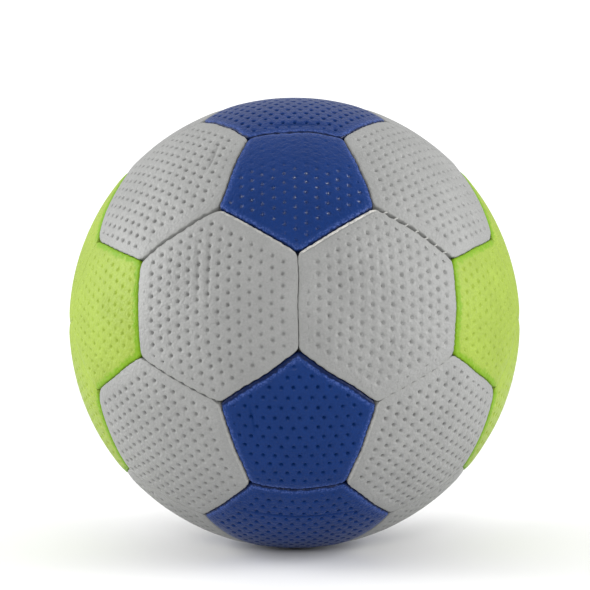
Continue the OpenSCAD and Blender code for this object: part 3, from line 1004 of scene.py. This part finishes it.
def floor():
    """A plain white round floor."""
    n = Nodes("white_floor")
    n.set(Base_Color=rgba((1, 1, 1), FLOOR_WHITE), Roughness=0.9, Specular_IOR_Level=0.2)
    shape = bmesh.new()
    bmesh.ops.create_circle(shape, cap_ends=True, radius=FLOOR_RADIUS, segments=FLOOR_SIDES)
    stage_mesh("floor", shape, n.owner).location = (0, 0, -BALL_RADIUS * MM)


def dome():
    """A white surround that only the camera sees, so that it adds no light of its own."""
    n = Nodes("white_surround")
    n.set(Base_Color=rgba((0, 0, 0)), Emission_Color=rgba((1, 1, 1)), Emission_Strength=DOME_LIGHT)
    shape = bmesh.new()
    bmesh.ops.create_icosphere(shape, subdivisions=4, radius=DOME_RADIUS)
    piece = stage_mesh("surround", shape, n.owner)
    for ray in ("diffuse", "glossy", "transmission", "volume_scatter", "shadow"):
        setattr(piece, "visible_" + ray, False)


def softbox(name, side, height, size, distance, light):
    """A square softbox that faces the ball, from this many degrees to the side of the camera's
    direction and above the floor. Its light is what it adds to a white surface that faces it."""
    data = bpy.data.lights.new(name, "AREA")
    data.shape = "SQUARE"
    data.size = size
    data.energy = light * (math.pi * distance) ** 2
    side, height = math.radians(side), math.radians(height)
    way = Vector((math.sin(side) * math.cos(height), -math.cos(side) * math.cos(height), math.sin(height)))
    box = new_object(name, data)
    box.location = way * distance
    box.rotation_euler = (-way).to_track_quat("-Z", "Y").to_euler()


def build_camera():
    """The camera looks at the ball from the fitted side, and aims just above it."""
    tilt = Matrix.Rotation(CAMERA_TILT, 3, "X")
    yaw = Matrix.Rotation(CAMERA_YAW, 3, "Y")
    roll = Matrix.Rotation(CAMERA_ROLL, 3, "Z")
    seen = roll @ tilt @ yaw
    to_row = Matrix.Rotation(-REST_LEAN, 3, "X") @ Matrix(((1, 0, 0), (0, 0, -1), (0, 1, 0)))
    axes = to_row @ seen.transposed()
    focal = OUTLINE_PIXELS * math.sqrt(CAMERA_REACH**2 - 1)
    aim_down = math.atan((BALL_PIXEL[1] - FRAME_WIDTH / 2) / focal)
    aim_side = math.atan((FRAME_WIDTH / 2 - BALL_PIXEL[0]) / focal)
    data = bpy.data.cameras.new("camera")
    data.sensor_width = SENSOR
    data.lens = focal / FRAME_WIDTH * SENSOR
    data.clip_start, data.clip_end = CLIP_SPAN
    camera = new_object("camera", data)
    distance = CAMERA_REACH * BALL_RADIUS * MM
    turn = axes @ Matrix.Rotation(aim_down, 3, "X") @ Matrix.Rotation(-aim_side, 3, "Y")
    camera.matrix_world = Matrix.Translation(axes.col[2] * distance) @ turn.to_4x4()
    bpy.context.scene.camera = camera


def build_room():
    """Even light from all round, dimmer from the camera's side of the studio."""
    n = Nodes("studio", "worlds", "Background")
    place = n.add("TexCoord").outputs["Generated"]
    share = n.add("VectorMath", {0: place, 1: ROOM_WAY}, operation="DOT_PRODUCT")
    n.set(Color=rgba((1, 1, 1)), Strength=n.ramp(share.outputs["Value"], 0, 1, *ROOM_LIGHT))
    bpy.context.scene.world = n.owner


def build_studio():
    bpy.context.scene.view_settings.view_transform = "Standard"
    build_room()
    floor()
    dome()
    for box in SOFTBOXES:
        softbox(*box)


def build_cover(panels):
    skins = {slot: leather(**settings) for slot, settings in LEATHERS.items()}
    for name, _, _, slot in PANELS:
        build_skin(panels[name], skins[slot])


def build_padding(panels):
    """The foam pads and the linings of all hexagons and of all pentagons, each as one piece."""
    foam_profile = rounded_profile(PAD_SIDE, FOAM_DEPTH, FOAM_THICKNESS, FOAM_ROUND)
    lining_profile = rounded_profile(PAD_SIDE, LINING_DEPTH, LINING_THICKNESS, LINING_ROUND)
    layers = (
        ("foam", "foam_pads", foam_profile, foam(), "foam"),
        ("lining_cloth", "linings", lining_profile, lining(), "lining_fabric"),
    )
    for sides, kind in ((6, "hexagon"), (5, "pentagon")):
        for name, node, profile, material, slot in layers:
            sheet = Sheet()
            for panel in panels.values():
                if panel.sides == sides:
                    add_layer(sheet, panel, profile, PAD_RING, PAD_GRID, PAD_INNER_GRID, ideal=True)
            piece = sheet.make(f"{kind}_{name}", f"{kind}_{node}", material)


def build_stitching(panels):
    material = thread()
    pentagon_seams = [(p, k) for p in panels.values() if p.sides == 5 for k in range(5)]
    hexagon_seams = [
        (p, k)
        for p in panels.values()
        for k, n in enumerate(p.neighbours)
        if p.sides == 6 and SIDES[n] == 6 and p.name < n
    ]
    for kind, seams in (("pentagon", pentagon_seams), ("hexagon", hexagon_seams)):
        sheet = Sheet()
        for panel, k in seams:
            add_seam_thread(sheet, panel, k)
        piece = sheet.make(f"{kind}_seam_stitching", f"{kind}_seam_threads", material, THREAD_SHARP)


def build_rubber_parts(nodes, valve_panel):
    """The bladder, and looks for the patch and the valve, which keep their shapes."""
    bladder = build_bladder(valve_panel, rubber("bladder_rubber"))
    for node, name in (
        ("valve_patch", "patch_rubber"),
        ("valve_housing", "valve_rubber"),
        ("valve_core", "core_rubber"),
    ):
        mesh = nodes[node].data
        mesh.materials.clear()
        mesh.materials.append(rubber(name))


def build_all(frame):
    panels = {name: Panel(name) for name, _, _, _ in PANELS}
    build_cover(panels)
    build_padding(panels)
    build_stitching(panels)
    build_rubber_parts(frame["nodes"], panels[VALVE_PANEL])


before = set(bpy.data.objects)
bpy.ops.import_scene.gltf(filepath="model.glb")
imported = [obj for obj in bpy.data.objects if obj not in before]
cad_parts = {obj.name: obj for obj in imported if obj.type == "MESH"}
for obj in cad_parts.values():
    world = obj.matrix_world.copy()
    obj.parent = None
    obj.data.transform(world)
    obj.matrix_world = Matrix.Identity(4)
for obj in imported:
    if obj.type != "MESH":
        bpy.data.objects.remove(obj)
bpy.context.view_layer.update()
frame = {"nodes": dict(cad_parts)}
build_all(frame)
build_camera()
build_studio()
bpy.context.view_layer.update()
